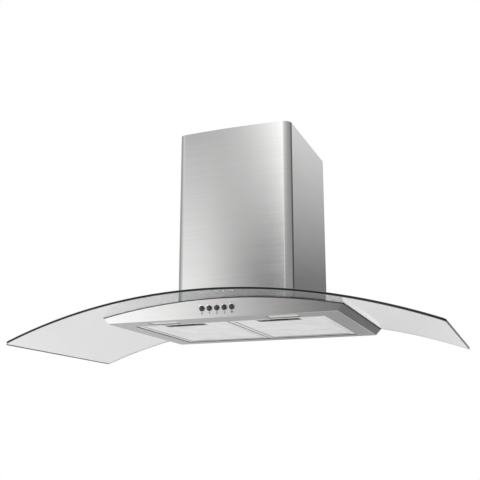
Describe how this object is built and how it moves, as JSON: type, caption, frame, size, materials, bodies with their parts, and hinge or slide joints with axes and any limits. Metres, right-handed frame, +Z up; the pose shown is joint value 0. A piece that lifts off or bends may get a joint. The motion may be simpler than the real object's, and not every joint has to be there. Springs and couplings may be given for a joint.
{
  "type": "range hood",
  "caption": "Wall-hung chimney range hood with a bent glass canopy, push buttons, hinged grease filters, centrifugal fan and telescopic chimney.",
  "frame": {"origin": "middle of the four wall fixing holes, on the wall plane", "axes": "+X to the right along the glass, +Y into the wall, +Z up"},
  "size_m": [0.9, 0.446, 0.4786],
  "materials": {
    "steel": "satin",
    "galvanised": "satin",
    "glass": "polished",
    "seal": "matte",
    "filter": "satin",
    "black_plastic": "matte",
    "button": "gloss",
    "lens": "frosted",
    "white_plastic": "matte",
    "grey_plastic": "matte",
    "zinc": "satin",
    "motor": "satin",
    "board": "matte"
  },
  "bodies": {
    "canopy": {"canopy_shell": "steel", "top_deck": "galvanised", "glass_seal": "seal", "glass_canopy": "glass", "chimney_lower": "steel", "fan_housing": "galvanised", "volute_left": "black_plastic", "volute_right": "black_plastic", "motor": "motor", "motor_bracket": "galvanised", "outlet_collar": "black_plastic", "flap_pin": "zinc", "terminal_box": "white_plastic", "terminal_box_cover": "white_plastic", "cable_gland": "grey_plastic", "terminal_block": "white_plastic", "capacitor": "white_plastic", "switch_box": "black_plastic", "lamp_lens_left": "lens", "lamp_lens_right": "lens", "lamp_holder_left": "white_plastic", "lamp_holder_right": "white_plastic", "led_board_left": "board", "led_board_right": "board", "filter_centre_bar": "steel"},
    "button_off": {"button_off": "button"},
    "button_speed_1": {"button_speed_1": "button"},
    "button_speed_2": {"button_speed_2": "button"},
    "button_speed_3": {"button_speed_3": "button"},
    "button_light": {"button_light": "button"},
    "filter_left": {"filter_frame_left": "filter", "filter_mesh_left": "filter", "filter_handle_left": "filter"},
    "filter_right": {"filter_frame_right": "filter", "filter_mesh_right": "filter", "filter_handle_right": "filter"},
    "latch_left": {"filter_latch_left": "black_plastic"},
    "latch_right": {"filter_latch_right": "black_plastic"},
    "fan": {"fan_wheel": "grey_plastic", "motor_shaft": "zinc"},
    "flap_front": {"flap_front": "black_plastic"},
    "flap_rear": {"flap_rear": "black_plastic"},
    "chimney_upper": {"chimney_upper": "steel", "chimney_bracket": "galvanised"}
  },
  "joints": [
    {"name": "button_off_press", "type": "slide", "parent": "canopy", "child": "button_off", "axis": [0, 0.9914, 0.1305], "range_m": [0, 0.003], "stiffness_N_per_m": 250},
    {"name": "button_speed_1_press", "type": "slide", "parent": "canopy", "child": "button_speed_1", "axis": [0, 0.9914, 0.1305], "range_m": [0, 0.003], "stiffness_N_per_m": 250},
    {"name": "button_speed_2_press", "type": "slide", "parent": "canopy", "child": "button_speed_2", "axis": [0, 0.9914, 0.1305], "range_m": [0, 0.003], "stiffness_N_per_m": 250},
    {"name": "button_speed_3_press", "type": "slide", "parent": "canopy", "child": "button_speed_3", "axis": [0, 0.9914, 0.1305], "range_m": [0, 0.003], "stiffness_N_per_m": 250},
    {"name": "button_light_press", "type": "slide", "parent": "canopy", "child": "button_light", "axis": [0, 0.9914, 0.1305], "range_m": [0, 0.003], "stiffness_N_per_m": 250},
    {"name": "filter_left_tilt", "type": "hinge", "parent": "canopy", "child": "filter_left", "pos_m": [0, -0.0342, -0.1878], "axis": [1, 0, 0], "range_deg": [0, 70]},
    {"name": "latch_left_pull", "type": "slide", "parent": "filter_left", "child": "latch_left", "axis": [0, 1, 0], "range_m": [0, 0.005], "stiffness_N_per_m": 300},
    {"name": "filter_right_tilt", "type": "hinge", "parent": "canopy", "child": "filter_right", "pos_m": [0, -0.0342, -0.1878], "axis": [1, 0, 0], "range_deg": [0, 70]},
    {"name": "latch_right_pull", "type": "slide", "parent": "filter_right", "child": "latch_right", "axis": [0, 1, 0], "range_m": [0, 0.005], "stiffness_N_per_m": 300},
    {"name": "fan_spin", "type": "hinge", "parent": "canopy", "child": "fan", "pos_m": [0, -0.128, -0.04], "axis": [1, 0, 0], "continuous": true},
    {"name": "flap_front_swing", "type": "hinge", "parent": "canopy", "child": "flap_front", "pos_m": [0, -0.075, 0.135], "axis": [-1, 0, 0], "range_deg": [0, 75]},
    {"name": "flap_rear_swing", "type": "hinge", "parent": "canopy", "child": "flap_rear", "pos_m": [0, -0.075, 0.135], "axis": [1, 0, 0], "range_deg": [0, 75]},
    {"name": "chimney_extend", "type": "slide", "parent": "canopy", "child": "chimney_upper", "axis": [0, 0, 1], "range_m": [0, 0.3]}
  ]
}
